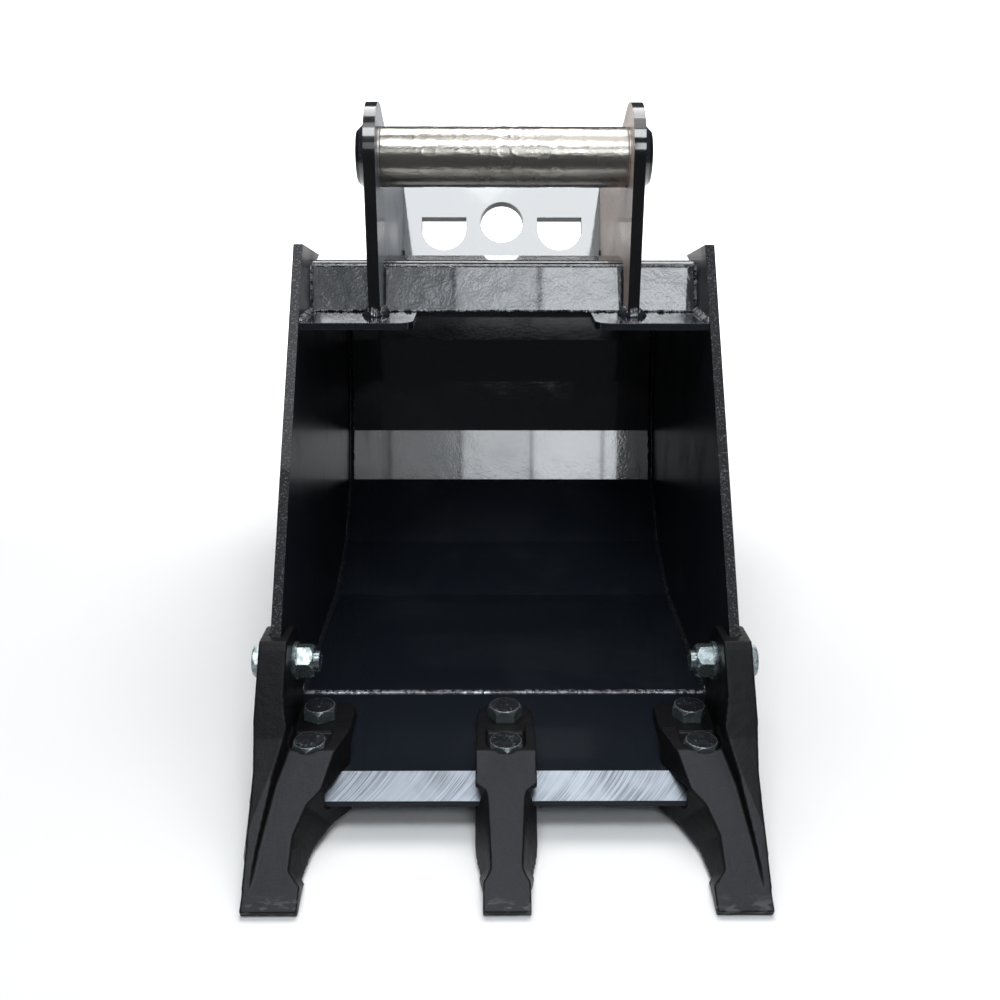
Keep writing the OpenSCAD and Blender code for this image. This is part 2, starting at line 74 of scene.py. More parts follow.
@dataclass(frozen=True)
class BucketFrame:
    """The bucket's own frame: x right, y back, z up, in millimetres, with the floor seam at y = z = 0.

    The frame stands tipped on the ground. Where it lies is worked out from the coupler bar's node.
    The shell's inner face goes by runs, in millimetres, and by headings, in degrees above the floor.
    """

    tilt: float = math.radians(5.8216)
    mouth: float = math.radians(54.6)
    mouth_foot: float = 130.0
    roof: float = 295.03
    sheet: float = 6.0
    half_out: float = 180.0
    half_in: float = 172.0
    eye_back: float = 79.0
    eye_rise: float = 130.0
    runs: tuple[float, ...] = (200, 90, 80, 56, 56, 47, 40, 42)
    headings: tuple[float, ...] = (0, 16, 41, 68, 74, 82, 106, 140)

    def mouth_y(self, z: float) -> float:
        """Returns y on the mouth line at height z."""
        return z / math.tan(self.mouth) - self.mouth_foot

    @property
    def roof_top(self) -> float:
        """Returns the height of the roof's outer face."""
        return self.roof + self.sheet

    @property
    def lip_y(self) -> float:
        """Returns y of the front edge of the roof lip."""
        return self.mouth_y(self.roof_top)

    @property
    def eye(self) -> tuple[float, float]:
        """Returns y and z of the coupler bar's axis."""
        return self.lip_y + self.eye_back, self.roof_top + self.eye_rise

    def inner_line(self) -> Profile:
        """Finds the folds of the shell's inner face.

        Returns:
            Their y and z, from the floor seam to the roof.
        """
        points = [(0.0, 0.0)]
        for run, angle in zip(self.runs, self.headings):
            y, z = points[-1]
            way = math.radians(angle)
            points.append((y + run * math.cos(way), z + run * math.sin(way)))
        return points

    def outer_line(self) -> Profile:
        """Finds the folds of the shell's outer face.

        Returns:
            Their y and z, from the first fold behind the floor to the roof's corner.
        """
        points = []
        for k, (y, z) in enumerate(self.inner_line()[1:], 1):
            before = math.radians(self.headings[k - 1])
            after = math.radians(self.headings[k] if k < len(self.headings) else 180)
            middle, reach = (before + after) / 2, self.sheet / math.cos((after - before) / 2)
            points.append((y + reach * math.sin(middle), z - reach * math.cos(middle)))
        return points

    def turned(self, y: float, z: float) -> tuple[float, float]:
        """Turns y and z from the bucket's frame to the ground's axes."""
        c, s = math.cos(self.tilt), math.sin(self.tilt)
        return y * c + z * s, z * c - y * s

    def place(self, x: float, y: float, z: float) -> Vector:
        """Places a point of the bucket's frame.

        Args:
            x, y, z: the point, in millimetres.

        Returns:
            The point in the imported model's frame, in metres.
        """
        low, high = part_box("coupler_pin")
        eye_y, eye_z = self.turned(*self.eye)
        spot_y, spot_z = self.turned(y, z)
        back = (low.y + high.y) / 2 + (spot_y - eye_y) * MM
        up = (low.z + high.z) / 2 + (spot_z - eye_z) * MM
        return Vector((x * MM, back, up))

    def direction(self, x: float, y: float, z: float) -> Vector:
        """Turns a direction of the bucket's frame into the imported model's frame."""
        return Vector((x, *self.turned(y, z))).normalized()


BUCKET = BucketFrame()


class Sheen(Enum):
    """How a surface answers light: its roughness."""

    MIRROR = 0.06
    GLOSS = 0.13
    SATIN = 0.34


class NodeTree:
    """A thin helper that adds nodes and links to a material or a group."""

    def __init__(self, tree: bpy.types.NodeTree) -> None:
        """Wraps a node tree."""
        self.tree = tree

    def plug(self, value: object, socket: Socket) -> None:
        """Links an output socket, or sets a plain value, on an input socket.

        Args:
            value: an output socket, a number, a vector or a colour.
            socket: the input socket.
        """
        if isinstance(value, bpy.types.NodeSocket):
            self.tree.links.new(value, socket)
        elif socket.type == "RGBA" and len(value) == 3:
            socket.default_value = (*value, 1.0)
        else:
            socket.default_value = value

    def fill(self, node: bpy.types.Node, **values: object) -> None:
        """Plugs values into a node's inputs.

        Args:
            node: the node.
            values: its sockets by name, with underscores for spaces.
        """
        for name, value in values.items():
            self.plug(value, node.inputs[name.replace("_", " ")])

    def add(self, kind: str, **values: object) -> bpy.types.Node:
        """Adds a node.

        Args:
            kind: the node's type, without the word ShaderNode.
            values: attributes of the node, or sockets by name with underscores for spaces.

        Returns:
            The new node.
        """
        node = self.tree.nodes.new("ShaderNode" + kind)
        for name, value in values.items():
            if hasattr(node, name):
                setattr(node, name, value)
            else:
                self.fill(node, **{name: value})
        return node

    def use(self, made: bpy.types.NodeTree, **values: object) -> bpy.types.bpy_prop_collection:
        """Places a group in the tree with its own values.

        Args:
            made: the group.
            values: its sockets by name, with underscores for spaces.

        Returns:
            The group's outputs, by name.
        """
        node = self.add("Group", node_tree=made)
        self.fill(node, **values)
        return node.outputs

    def maths(self, operation: str, first: object, second: object = 0.0, clamp: bool = False) -> Socket:
        """Adds a Math node.

        Args:
            operation: what it does.
            first, second: its two values.
            clamp: whether the result is held between 0 and 1.

        Returns:
            Its output.
        """
        node = self.add("Math", operation=operation, use_clamp=clamp)
        self.plug(first, node.inputs[0])
        self.plug(second, node.inputs[1])
        return node.outputs[0]

    def times(self, first: object, *others: object) -> Socket:
        """Multiplies values in their order.

        Args:
            first: the first value.
            others: the values that follow.

        Returns:
            The product.
        """
        for other in others:
            first = self.maths("MULTIPLY", first, other)
        return first

    def plus(self, first: object, second: object) -> Socket:
        """Adds up two values and returns the sum."""
        return self.maths("ADD", first, second)

    def vectors(self, operation: str, first: object, second: object) -> bpy.types.bpy_prop_collection:
        """Adds a Vector Math node.

        Args:
            operation: what it does.
            first, second: its two vectors.

        Returns:
            Its outputs, by name.
        """
        node = self.add("VectorMath", operation=operation)
        self.plug(first, node.inputs[0])
        self.plug(second, node.inputs[1])
        return node.outputs

    def ramp(self, value: object, low: float, high: float, to_low: float = 0.0, to_high: float = 1.0,
             smooth: bool = True) -> Socket:
        """Adds a Map Range.

        Args:
            value: what is mapped.
            low, high: the range that it comes from.
            to_low, to_high: the range that it goes to.
            smooth: whether it eases in and out, or goes straight.

        Returns:
            Its output.
        """
        node = self.add("MapRange", interpolation_type="SMOOTHSTEP" if smooth else "LINEAR")
        for socket, number in zip(node.inputs, (value, low, high, to_low, to_high)):
            self.plug(number, socket)
        return node.outputs[0]

    def blend(self, share: object, first: object, second: object) -> Socket:
        """Adds a colour Mix.

        Args:
            share: how much of the second colour shows.
            first, second: the two colours.

        Returns:
            The mixed colour.
        """
        node = self.add("Mix", data_type="RGBA")
        self.plug(share, node.inputs[0])
        self.plug(first, node.inputs[6])
        self.plug(second, node.inputs[7])
        return node.outputs[2]

    def grain(self, where: object, scale: float, detail: float = 3.0, rough: float = 0.5) -> Socket:
        """Adds a Noise and returns its factor."""
        return self.add("TexNoise", Vector=where, Scale=scale, Detail=detail, Roughness=rough).outputs["Fac"]

    def place(self, scale: Triple = (1, 1, 1), turn: Triple = (0, 0, 0), spot: Socket | None = None) -> Socket:
        """Scales and turns coordinates.

        Args:
            scale, turn: the scale and the turn on each axis.
            spot: the coordinates, or None for the object's own.

        Returns:
            The new coordinates.
        """
        if spot is None:
            spot = self.add("TexCoord").outputs["Object"]
        return self.add("Mapping", Vector=spot, Scale=scale, Rotation=turn).outputs["Vector"]

    def split(self, vector: Socket) -> bpy.types.bpy_prop_collection:
        """Splits a vector and returns its parts by name: X, Y and Z."""
        return self.add("SeparateXYZ", Vector=vector).outputs

    def normal(self) -> Socket:
        """Returns the surface's own normal."""
        return self.add("NewGeometry").outputs["Normal"]

    def facing(self, way: Vector) -> Socket:
        """Returns how far the surface faces a direction, from -1 to 1."""
        return self.vectors("DOT_PRODUCT", self.normal(), way)["Value"]

    def bump(self, height: Socket, normal: Socket | None = None) -> Socket:
        """Adds a Bump.

        Args:
            height: the height, in metres.
            normal: the normal that it starts from, or None for the surface's own.

        Returns:
            The bumped normal.
        """
        node = self.add("Bump", Height=height, Distance=1.0)
        if normal is not None:
            self.plug(normal, node.inputs["Normal"])
        return node.outputs["Normal"]


def group(name: str, inputs: dict[str, tuple[str, object]], outputs: dict[str, str],
          build: Callable[[NodeTree, Sockets], Sockets]) -> bpy.types.NodeTree:
    """Makes a shader node group once.

    Args:
        name: the group's name.
        inputs: socket name to its kind and default.
        outputs: socket name to its kind.
        build: takes the tree and the group's inputs, and returns what each output carries.

    Returns:
        The group.
    """
    if name in bpy.data.node_groups:
        return bpy.data.node_groups[name]
    tree = bpy.data.node_groups.new(name, "ShaderNodeTree")
    for label, (kind, default) in inputs.items():
        socket = tree.interface.new_socket(label, in_out="INPUT", socket_type="NodeSocket" + kind)
        if default is not None:
            socket.default_value = default
    for label, kind in outputs.items():
        tree.interface.new_socket(label, in_out="OUTPUT", socket_type="NodeSocket" + kind)
    entry = tree.nodes.new("NodeGroupInput")
    leave = tree.nodes.new("NodeGroupOutput")
    for label, socket in build(NodeTree(tree), {s.name: s for s in entry.outputs if s.name}).items():
        tree.links.new(socket, leave.inputs[label])
    return tree


def orange_peel() -> bpy.types.NodeTree:
    """Makes the group for sprayed paint: fine peel, slow waves and a few drops.

    Returns:
        The group, which puts out a height in metres.
    """

    def build(t: NodeTree, given: Sockets) -> Sockets:
        """Wires the group.

        Args:
            t: the group's tree.
            given: its inputs.

        Returns:
            What each output carries.
        """
        spot = given["Vector"]
        fine = t.grain(spot, 420.0, 2.0, 0.45)
        slow = t.grain(spot, 38.0, 2.0)
        cells = t.add("TexVoronoi", Vector=spot, Scale=130.0).outputs["Distance"]
        drop = t.ramp(cells, 0.0, 0.16, 1.0, 0.0)
        gate = t.ramp(t.grain(spot, 60.0, 2.0), 0.6, 0.7)
        skin = t.plus(t.times(fine, given["Peel"]), t.times(slow, given["Wave"]))
        return {"Height": t.plus(skin, t.times(drop, gate, given["Drops"]))}

    return group("orange_peel", {"Vector": ("Vector", None), "Peel": ("Float", 0.00002),
                                 "Wave": ("Float", 0.0001), "Drops": ("Float", 0.00005)},
                 {"Height": "Float"}, build)


def edge_catch() -> bpy.types.NodeTree:
    """Makes the group that finds edges by how far a rounded normal leans from the true one.

    Returns:
        The group, which puts out an edge mask and the rounded normal.
    """

    def build(t: NodeTree, given: Sockets) -> Sockets:
        """Wires the group.

        Args:
            t: the group's tree.
            given: its inputs.

        Returns:
            What each output carries.
        """
        soft = t.add("Bevel", samples=4, Radius=given["Radius"]).outputs["Normal"]
        lean = t.maths("SUBTRACT", 1.0, t.vectors("DOT_PRODUCT", soft, t.normal())["Value"])
        broken = t.plus(t.grain(given["Vector"], 300.0), 0.4)
        return {"Edge": t.ramp(t.times(lean, broken), 0.03, 0.22), "Normal": soft}

    return group("edge_catch", {"Vector": ("Vector", None), "Radius": ("Float", 0.001)},
                 {"Edge": "Float", "Normal": "Vector"}, build)


def grime() -> bpy.types.NodeTree:
    """Makes the group for dust and small marks.

    Returns:
        The group, which puts out a soft mask and a speckle mask.
    """

    def build(t: NodeTree, given: Sockets) -> Sockets:
        """Wires the group.

        Args:
            t: the group's tree.
            given: its inputs.

        Returns:
            What each output carries.
        """
        cloud = t.ramp(t.grain(given["Vector"], 14.0, 5.0, 0.62), 0.42, 0.75)
        specks = t.ramp(t.grain(given["Vector"], 900.0, 2.0), given["Speck"], 0.9)
        return {"Cloud": cloud, "Specks": specks}

    return group("grime", {"Vector": ("Vector", None), "Speck": ("Float", 0.7)},
                 {"Cloud": "Float", "Specks": "Float"}, build)


def scratches() -> bpy.types.NodeTree:
    """Makes the group for fine lines across a stretched noise.

    Returns:
        The group, which puts out a mask and a height in metres.
    """

    def build(t: NodeTree, given: Sockets) -> Sockets:
        """Wires the group.

        Args:
            t: the group's tree.
            given: its inputs.

        Returns:
            What each output carries.
        """
        lines = t.grain(given["Vector"], 1.0, 4.0, 0.65)
        return {"Lines": t.ramp(lines, 0.35, 0.65), "Height": t.times(lines, given["Depth"])}

    return group("scratches", {"Vector": ("Vector", None), "Depth": ("Float", 0.00005)},
                 {"Lines": "Float", "Height": "Float"}, build)


def new_material(name: str) -> tuple[bpy.types.Material, NodeTree, bpy.types.Node]:
    """Makes an empty node material.

    Args:
        name: the material's name.

    Returns:
        The material, its tree helper and its Principled shader.
    """
    material = bpy.data.materials.new(name)
    material.use_nodes = True
    return material, NodeTree(material.node_tree), material.node_tree.nodes["Principled BSDF"]


@dataclass(frozen=True)
class GlossPaint:
    """Thick black-blue gloss paint over plate, with peel, waves, dust, and greyer flame-cut edges.

    Faces that look along the direction in faces, or all the others, can have a second colour; on the ears' inner
    faces that colour is a painted reflection.
    """

    name: str
    colour: Colour = (0.0105, 0.0135, 0.0195)
    dust: Colour = (0.022, 0.024, 0.028)
    scuff: Colour = (0.035, 0.038, 0.044)
    thin_edge: Colour = (0.05, 0.052, 0.057)
    # second: colour of the turned faces; on the ears' inner faces it is a painted reflection
    second: Colour = (0.01, 0.01, 0.011)
    fleck: Colour = (0.05, 0.035, 0.026)
    cut_dark: Colour = (0.018, 0.019, 0.021)
    cut_pale: Colour = (0.13, 0.135, 0.15)
    sheen: Sheen = Sheen.GLOSS
    sheen_spread: float = 0.1
    edge_radius: float = 0.0012
    peel: float = 0.000012
    wave: float = 0.00012
    drops: float = 0.00003
    # The share of dust colour, laid in a noise cloud
    dust_and_sheen: float = 0.3
    coat: float = 1.0
    specular: float = 0.5
    cut_edge: bool = False
    cut_relief: float = 0.0005
    faces: Triple | None = None
    others: bool = False

    def make(self) -> bpy.types.Material:
        """Makes the finish.

        Returns:
            The material.
        """
        material, t, shader = new_material(self.name)
        spot = t.place()
        paint = t.use(orange_peel(), Vector=spot, Peel=self.peel, Wave=self.wave, Drops=self.drops)
        edge = t.use(edge_catch(), Vector=spot, Radius=self.edge_radius)
        dirt = t.use(grime(), Vector=spot, Speck=0.66)
        marks = t.use(scratches(), Vector=t.place(scale=(34.0, 420.0, 420.0), turn=(0.2, 0.1, 0.45)))
        rubbed = t.ramp(t.grain(spot, 9.0), 0.52, 0.66)
        tint = t.blend(t.times(dirt["Cloud"], self.dust_and_sheen), self.colour, self.dust)
        tint = t.blend(t.times(marks["Lines"], rubbed, 0.35), tint, self.scuff)
        tint = t.blend(t.times(edge["Edge"], 0.5), tint, self.thin_edge)
        clean = t.ramp(dirt["Cloud"], 0.0, 1.0, self.sheen.value, self.sheen.value + self.sheen_spread)
        rough = t.plus(clean, t.times(dirt["Specks"], 0.12))
        height, coat = paint["Height"], self.coat
        if self.cut_edge:
            tint, rough, height, coat = self.flame_cut(t, spot, tint, rough, height)
        if self.faces:
            tint, rough, coat = self.turned_faces(t, spot, tint, rough)
        t.fill(shader, Base_Color=tint, Roughness=rough, Normal=t.bump(height, edge["Normal"]), IOR=1.55,
               Specular_IOR_Level=self.specular, Coat_Weight=coat, Coat_Roughness=0.04, Coat_IOR=1.6)
        return material

    def turned_faces(self, t: NodeTree, spot: Socket, tint: Socket,
                     rough: Socket) -> tuple[Socket, Socket, Socket]:
        """Gives the faces that look along a direction, or all the others, a second colour and less gloss.

        Args:
            t: the material's tree.
            spot: object coordinates.
            tint, rough: what the paint gives so far.

        Returns:
            The new colour, roughness and coat.
        """
        share = t.facing(BUCKET.direction(*self.faces))
        if self.others:
            mask = t.ramp(t.maths("ABSOLUTE", share), 0.5, 0.8, 1.0, 0.0)
        else:
            mask = t.ramp(share, 0.7, 0.95)
        flecks = t.ramp(t.grain(spot, 330.0, 4.0, 0.7), 0.58, 0.66)
        # On the ears this second colour is a painted reflection, flecked with real specks; on the lock plate it
        # is near-black matt paint
        marked = t.blend(t.times(flecks, 0.6), self.second, self.fleck)
        rough = t.plus(rough, t.times(mask, 0.45 if self.others else 0.3))
        return t.blend(mask, tint, marked), rough, t.ramp(mask, 0.0, 1.0, self.coat, self.coat * 0.12)

    def flame_cut(self, t: NodeTree, spot: Socket, tint: Socket, rough: Socket,
                  height: Socket) -> tuple[Socket, Socket, Socket, Socket]:
        """Greys and roughens the faces along the mouth line, where the plate was flame cut.

        Args:
            t: the material's tree.
            spot: object coordinates.
            tint, rough, height: what the paint gives so far.

        Returns:
            The new colour, roughness, height and coat.
        """
        outward = BUCKET.direction(0, -math.sin(BUCKET.mouth), math.cos(BUCKET.mouth))
        away = t.vectors("SUBTRACT", spot, BUCKET.place(0, BUCKET.mouth_y(0), 0))["Vector"]
        face = t.ramp(t.vectors("DOT_PRODUCT", away, outward)["Value"], -0.0006, -0.0002)
        specks = t.ramp(t.grain(spot, 620.0, 4.0, 0.7), 0.52, 0.66)
        relief = t.times(t.grain(spot, 480.0, 4.0, 0.7), self.cut_relief)
        return (t.blend(face, tint, t.blend(specks, self.cut_dark, self.cut_pale)),
                t.plus(rough, t.times(face, 0.35)), t.plus(height, t.times(face, relief)),
                t.ramp(face, 0.0, 1.0, self.coat, 0.1))


@dataclass(frozen=True)
class CastCoat:
    """Satin charcoal coat on cast steel, with a sandy skin, upward faces painted lighter as a painted sheen, and
    worn tips.
    """

    name: str
    colour: Colour = (0.006, 0.006, 0.0068)
    # Lighter colour for the upward faces: a painted sheen
    dust_and_sheen: Colour = (0.0275, 0.029, 0.0345)
    worn: Colour = (0.1, 0.104, 0.11)
    slope: float = math.radians(31.27)
    sand: float = 0.00022
    lumps: float = 0.0005
    tip_from: float = 0.003
    tip_to: float = 0.012
    fin_y: tuple[float, float] = (-0.24, -0.325)
    fin_x: tuple[float, float] = (0.1655, 0.192)

    def make(self) -> bpy.types.Material:
        """Makes the finish.

        Returns:
            The material.
        """
        material, t, shader = new_material(self.name)
        spot = t.place()
        sand = t.grain(spot, 700.0, 4.0, 0.6)
        # Upward faces inside the fins are painted lighter, a painted sheen varied by the sand grain
        upward = BUCKET.direction(0, -math.sin(self.slope), math.cos(self.slope))
        upper = t.times(t.ramp(t.facing(upward), 0.965, 0.99), self.within(t, spot))
        tint = t.blend(t.times(upper, t.ramp(sand, 0.3, 0.7, 0.75, 1.0)), self.colour, self.dust_and_sheen)
        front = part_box("centre_tooth")[0].y
        tip = t.ramp(t.split(spot)["Y"], front + self.tip_from, front + self.tip_to, 1.0, 0.0)
        streak = t.ramp(t.grain(t.place(scale=(1.0, 3.0, 3.0)), 90.0), 0.5, 0.62)
        tint = t.blend(t.times(tip, streak, 0.6), tint, self.worn)
        height = t.plus(t.times(sand, self.sand), t.times(t.grain(spot, 120.0), self.lumps))
        rough = t.ramp(t.use(grime(), Vector=spot)["Cloud"], 0.0, 1.0, 0.42, 0.55)
        t.fill(shader, Base_Color=tint, Roughness=rough, Normal=t.bump(height), Specular_IOR_Level=0.15)
        return material

    def within(self, t: NodeTree, spot: Socket) -> Socket:
        """Finds what lies inside the fins, whose inner border runs outwards towards the tips.

        Args:
            t: the material's tree.
            spot: object coordinates.

        Returns:
            A mask that leaves out the fins.
        """
        part = t.split(spot)
        border = t.ramp(part["Y"], *self.fin_y, *self.fin_x, smooth=False)
        return t.ramp(t.maths("SUBTRACT", t.maths("ABSOLUTE", part["X"]), border), 0.0, 0.0008, 1.0, 0.0)


@dataclass(frozen=True)
class BladePaint:
    """Gloss paint on the cutting edge, with a bright milled bevel and a dull nose."""

    name: str
    colour: Colour = (0.0105, 0.0135, 0.0195)
    dust: Colour = (0.02, 0.022, 0.025)
    milled: Colour = (0.3, 0.335, 0.38)
    groove: Colour = (0.1, 0.115, 0.135)
    bevel_run: float = 21.5
    blade_run: float = 139.0
    edge_radius: float = 0.0009
    mark_depth: float = 0.00006
    mark_turn: float = math.radians(38)
    mark_scale: Triple = (900.0, 16.0, 16.0)
    mark_centre: float = 0.2
    mark_bend: float = 9.0

    def make(self) -> bpy.types.Material:
        """Makes the finish.

        Returns:
            The material.
        """
        material, t, shader = new_material(self.name)
        spot = t.place()
        paint = t.use(orange_peel(), Vector=spot, Peel=0.00001, Wave=0.0001, Drops=0.00003)
        edge = t.use(edge_catch(), Vector=spot, Radius=self.edge_radius)
        dirt = t.use(grime(), Vector=spot)
        crease = BUCKET.place(0, self.bevel_run - self.blade_run, 0).y
        normal = t.split(t.normal())
        sloped = t.times(t.ramp(normal["Y"], -0.1, -0.25), t.ramp(normal["Z"], 0.5, 0.7))
        bevel = t.times(sloped, t.ramp(t.split(spot)["Y"], crease + 0.001, crease + 0.0005))
        nose = t.ramp(normal["Y"], -0.75, -0.92)
        marks = self.marks(t, spot)
        painted = t.blend(t.times(dirt["Cloud"], 0.35), self.colour, self.dust)
        tint = t.blend(bevel, painted, t.blend(marks, self.milled, self.groove))
        rough = t.plus(t.ramp(bevel, 0.0, 1.0, 0.12, 0.33), t.times(nose, 0.7))
        coat = t.maths("SUBTRACT", 1.0, t.maths("MAXIMUM", bevel, nose), True)
        height = t.plus(paint["Height"], t.times(marks, bevel, self.mark_depth))
        t.fill(shader, Base_Color=tint, Metallic=t.times(bevel, 0.85), Roughness=rough, Coat_Weight=coat,
               Coat_Roughness=0.05, Normal=t.bump(height, edge["Normal"]))
        return material

    def marks(self, t: NodeTree, spot: Socket) -> Socket:
        """Draws the cutter's curved marks as broken lines that bend along the bucket's length.

        Args:
            t: the material's tree.
            spot: object coordinates.

        Returns:
            A mask of the marks.
        """
        far = t.plus(t.split(spot)["Y"], self.mark_centre)
        sag = t.times(t.maths("POWER", far, 2.0), self.mark_bend)
        bent = t.vectors("ADD", spot, t.add("CombineXYZ", X=sag).outputs["Vector"])["Vector"]
        lines = t.use(scratches(), Vector=t.place(self.mark_scale, (0, 0, self.mark_turn), bent))
        return t.times(lines["Lines"], t.ramp(t.grain(spot, 30.0, 2.0), 0.35, 0.65, 0.35, 1.0))


@dataclass(frozen=True)
class ZincPlate:
    """Bright zinc plate with faint blue, dulled in patches, and on some pieces gloss black overspray."""

    name: str
    colour: Colour = (0.25, 0.29, 0.3)
    dull: Colour = (0.13, 0.17, 0.175)
    bright: Colour = (0.75, 0.78, 0.82)
    oversprayed: bool = False
    overspray: Colour = (0.014, 0.0155, 0.019)
    metal: float = 0.75
    edge_radius: float = 0.0011
    pitting: float = 0.00003

    def make(self) -> bpy.types.Material:
        """Makes the finish.

        Returns:
            The material.
        """
        material, t, shader = new_material(self.name)
        spot = t.place()
        edge = t.use(edge_catch(), Vector=spot, Radius=self.edge_radius)
        patch = t.ramp(t.grain(spot, 160.0, 4.0), 0.35, 0.7)
        tint, metal = t.blend(patch, self.colour, self.dull), self.metal
        if self.oversprayed:
            bare = t.maths("MAXIMUM", self.left_bare(t, spot), edge["Edge"], True)
            tint, metal = t.blend(bare, self.overspray, tint), t.times(bare, self.metal)
        tint = t.blend(t.times(edge["Edge"], 0.7), tint, self.bright)
        height = t.times(t.grain(spot, 900.0), self.pitting)
        t.fill(shader, Base_Color=tint, Metallic=metal, Roughness=t.ramp(patch, 0.0, 1.0, 0.22, 0.38),
               Normal=t.bump(height, edge["Normal"]), Coat_Weight=0.6, Coat_Roughness=0.05)
        return material

    def left_bare(self, t: NodeTree, spot: Socket) -> Socket:
        """Finds where the overspray leaves the zinc bare: in specks, and on the flats that face sideways.

        Args:
            t: the material's tree.
            spot: object coordinates.

        Returns:
            A mask of the bare zinc.
        """
        specks = t.ramp(t.grain(spot, 260.0, 3.0, 0.6), 0.6, 0.68)
        return t.maths("MAXIMUM", specks, t.ramp(t.split(t.normal())["Z"], 0.75, 0.5, 0.0, 0.7))


@dataclass(frozen=True)
class BarSteel:
    """Turned steel of the coupler bar: fine rings, a warm tint, and gloss paint on its ends."""

    name: str
    steel: Colour = (0.6, 0.575, 0.53)
    groove: Colour = (0.42, 0.4, 0.365)
    paint: Colour = (0.0065, 0.007, 0.0085)
    paint_from: float = 0.1068
    paint_edge: float = 0.0004

    def make(self) -> bpy.types.Material:
        """Makes the finish.

        Returns:
            The material.
        """
        material, t, shader = new_material(self.name)
        across = t.maths("ABSOLUTE", t.split(t.place())["X"])
        painted = t.ramp(across, self.paint_from, self.paint_from + self.paint_edge)
        rings = t.use(scratches(), Vector=t.place(scale=(1500.0, 8.0, 8.0)), Depth=0.00001)
        tint = t.blend(painted, t.blend(rings["Lines"], self.steel, self.groove), self.paint)
        t.fill(shader, Base_Color=tint, Metallic=t.ramp(painted, 0.0, 1.0, 0.9, 0.0),
               Roughness=t.ramp(painted, 0.0, 1.0, 0.28, 0.16), Normal=t.bump(rings["Height"]))
        return material


@dataclass(frozen=True)
class BarFilm:
    """The clear film wrapped round the bar, made as an opaque warm metal skin with creases and clouds."""

    name: str
    colour: Colour = (0.36, 0.345, 0.31)
    cloudy: Colour = (0.22, 0.205, 0.175)

    def make(self) -> bpy.types.Material:
        """Makes the finish.

        Returns:
            The material.
        """
        material, t, shader = new_material(self.name)
        cloud = t.ramp(t.grain(t.place(), 22.0, 4.0, 0.6), 0.35, 0.7)
        creases = t.use(scratches(), Vector=t.place(scale=(60.0, 200.0, 200.0), turn=(0, 0, 0.5)), Depth=0.0003)
        t.fill(shader, Base_Color=t.blend(t.times(cloud, 0.6), self.colour, self.cloudy),
               Roughness=t.ramp(cloud, 0.0, 1.0, 0.2, 0.3), Normal=t.bump(creases["Height"]),
               Metallic=0.85, Coat_Weight=1.0, Coat_Roughness=0.06)
        return material


@dataclass(frozen=True)
class WeldCoat:
    """Painted weld bead: gloss black, worn bright in patches."""

    name: str
    painted: Colour = (0.02, 0.022, 0.028)
    worn: Colour = (0.5, 0.52, 0.56)
    bright: float = 0.4
    grit: float = 0.00025

    def make(self) -> bpy.types.Material:
        """Makes the finish.

        Returns:
            The material.
        """
        material, t, shader = new_material(self.name)
        spot = t.place()
        fine = t.ramp(t.grain(spot, 260.0, 4.0, 0.65), 0.62 - self.bright * 0.35, 0.72 - self.bright * 0.2)
        worn = t.times(fine, t.ramp(t.grain(spot, 45.0, 2.0), 0.3, 0.6))
        tint = t.blend(t.maths("MULTIPLY", worn, self.bright * 2.0, True), self.painted, self.worn)
        t.fill(shader, Base_Color=tint, Metallic=t.times(worn, 0.5), Roughness=Sheen.GLOSS.value,
               Normal=t.bump(t.times(t.grain(spot, 500.0), self.grit)), Coat_Weight=1.0, Coat_Roughness=0.04)
        return material


@dataclass
class Finishes:
    """Every finish of the bucket, made once, by the record's material slot or by a name of its own."""

    made: dict[str, bpy.types.Material] = field(default_factory=dict)

    def make(self) -> None:
        """Makes all the materials."""
        ear = {"colour": (0.0075, 0.0078, 0.0085), "specular": 0.4}
        finishes = {
            "shell_paint": GlossPaint("shell_gloss", wave=0.00025, peel=0.00008, sheen=Sheen.MIRROR, dust_and_sheen=0.2),
            "side_paint": GlossPaint("side_gloss", sheen=Sheen.SATIN, coat=0.05, specular=0.16, cut_edge=True),
            "edge_paint": BladePaint("blade_gloss"),
            "beam_paint": GlossPaint("beam_gloss", peel=0.0003, wave=0.0018, drops=0.0004),
            # The ears' inner faces carry a painted reflection as their second colour: bluish grey on the left
            # ear, warm pale brown on the right
            "ear_paint": GlossPaint("ear_gloss", faces=(1, 0, 0), second=(0.12, 0.145, 0.18), **ear),
            "ear_right": GlossPaint("ear_gloss_hazed", faces=(-1, 0, 0), second=(0.75, 0.58, 0.49), **ear),
            "lock_paint": GlossPaint("lock_gloss", sheen=Sheen.MIRROR, wave=0.00016, peel=0.00002,
                                     dust=(0.05, 0.055, 0.065), faces=(0, -0.891, 0.454), others=True),
            "bar_steel": BarSteel("bar_turned"),
            "weld_paint": WeldCoat("weld_painted", bright=0.12),
            "seam_weld": WeldCoat("weld_bright", bright=0.5),
            "tooth_cast": CastCoat("tooth_coat"),
            "zinc_bolts": ZincPlate("zinc_bright"),
            "zinc_nuts": ZincPlate("zinc_nut"),
            "zinc_washers": ZincPlate("zinc_washer", colour=(0.2, 0.23, 0.235)),
            "tooth_bolts": ZincPlate("zinc_oversprayed", oversprayed=True),
            "bar_film": BarFilm("film_creased"),
        }
        self.made = {slot: finish.make() for slot, finish in finishes.items()}

    def dress(self, node: str, finish: str) -> None:
        """Puts a finish on a carried-over node.

        Args:
            node: the node's name.
            finish: which of the finishes it gets.
        """
        obj = frame["nodes"][node]
        obj.data.materials.clear()
        obj.data.materials.append(self.made[finish])
        LOG.info("%s: %s", node, finish)


